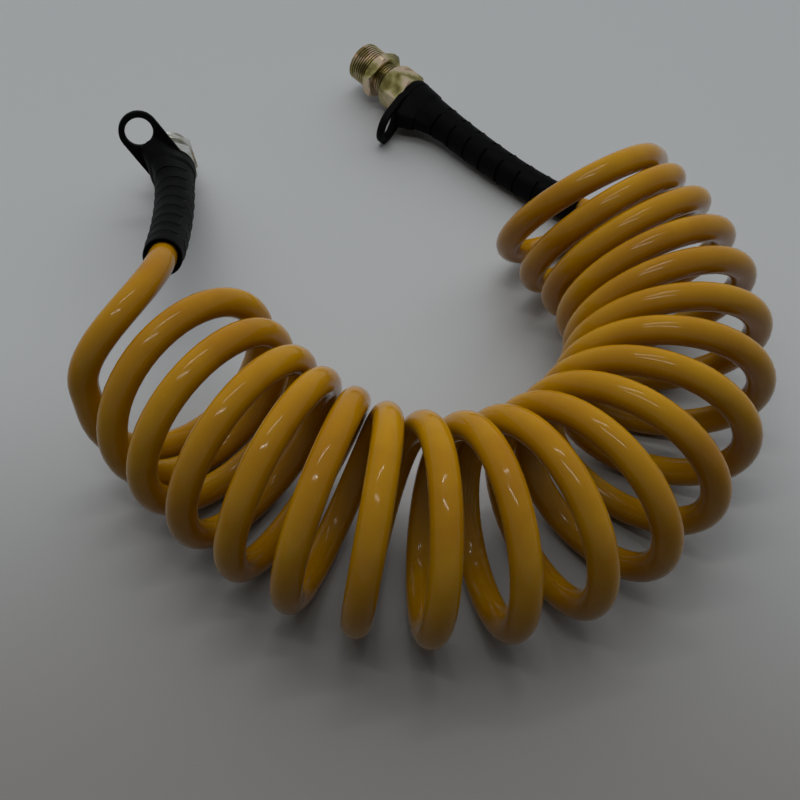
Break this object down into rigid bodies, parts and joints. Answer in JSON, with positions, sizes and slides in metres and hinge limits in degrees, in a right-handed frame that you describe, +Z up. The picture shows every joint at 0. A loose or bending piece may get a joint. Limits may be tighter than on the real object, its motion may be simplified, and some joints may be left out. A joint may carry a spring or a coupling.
{
  "type": "coiled air hose",
  "caption": "Coiled yellow air hose lying in a U, with a black rubber boot with a lug and a metal screw fitting at each end.",
  "frame": {"origin": "under the middle of the outline, on the surface the hose lies on", "axes": "+Z up, +Y from the closed end of the U towards its open end with the fittings, +X to the right seen from the closed end"},
  "size_m": [0.3052, 0.3806, 0.091],
  "materials": {
    "hose": "glossy polyurethane tube",
    "boot": "matt moulded rubber",
    "clear_zinc": "clear zinc plate",
    "yellow_zinc": "yellow passivated zinc plate",
    "olive": "turned brass"
  },
  "bodies": {
    "hose": {"hose_coil": "hose", "hose_tail_left": "hose", "hose_tail_right": "hose", "boot_left": "boot", "boot_right": "boot", "olive_left": "olive", "olive_right": "olive", "insert_left": "olive", "insert_right": "olive"},
    "nut_left_body": {"nut_left": "clear_zinc"},
    "stud_left_body": {"stud_left": "clear_zinc"},
    "nut_right_body": {"nut_right": "yellow_zinc"},
    "stud_right_body": {"stud_right": "yellow_zinc"}
  },
  "joints": [
    {"name": "nut_left_turn", "type": "hinge", "parent": "hose", "child": "nut_left_body", "pos_m": [-0.12759, 0.05873, 0.03121], "axis": [0.2477, -0.864, 0.4384], "range_deg": [0, 1800]},
    {"name": "stud_left_slide", "type": "slide", "parent": "hose", "child": "stud_left_body", "axis": [-0.2477, 0.864, -0.4384], "range_m": [0, 0.0075]},
    {"name": "nut_right_turn", "type": "hinge", "parent": "hose", "child": "nut_right_body", "pos_m": [-0.01323, 0.15626, 0.01321], "axis": [0.7461, -0.6601, -0.0872], "range_deg": [0, 1800]},
    {"name": "stud_right_slide", "type": "slide", "parent": "hose", "child": "stud_right_body", "axis": [-0.7461, 0.6601, 0.0872], "range_m": [0, 0.0075]}
  ],
  "couplings": [
    {"joint": "nut_left_turn", "follows": "stud_left_slide", "rad_per_m": 4188.8},
    {"joint": "nut_right_turn", "follows": "stud_right_slide", "rad_per_m": 4188.8}
  ]
}
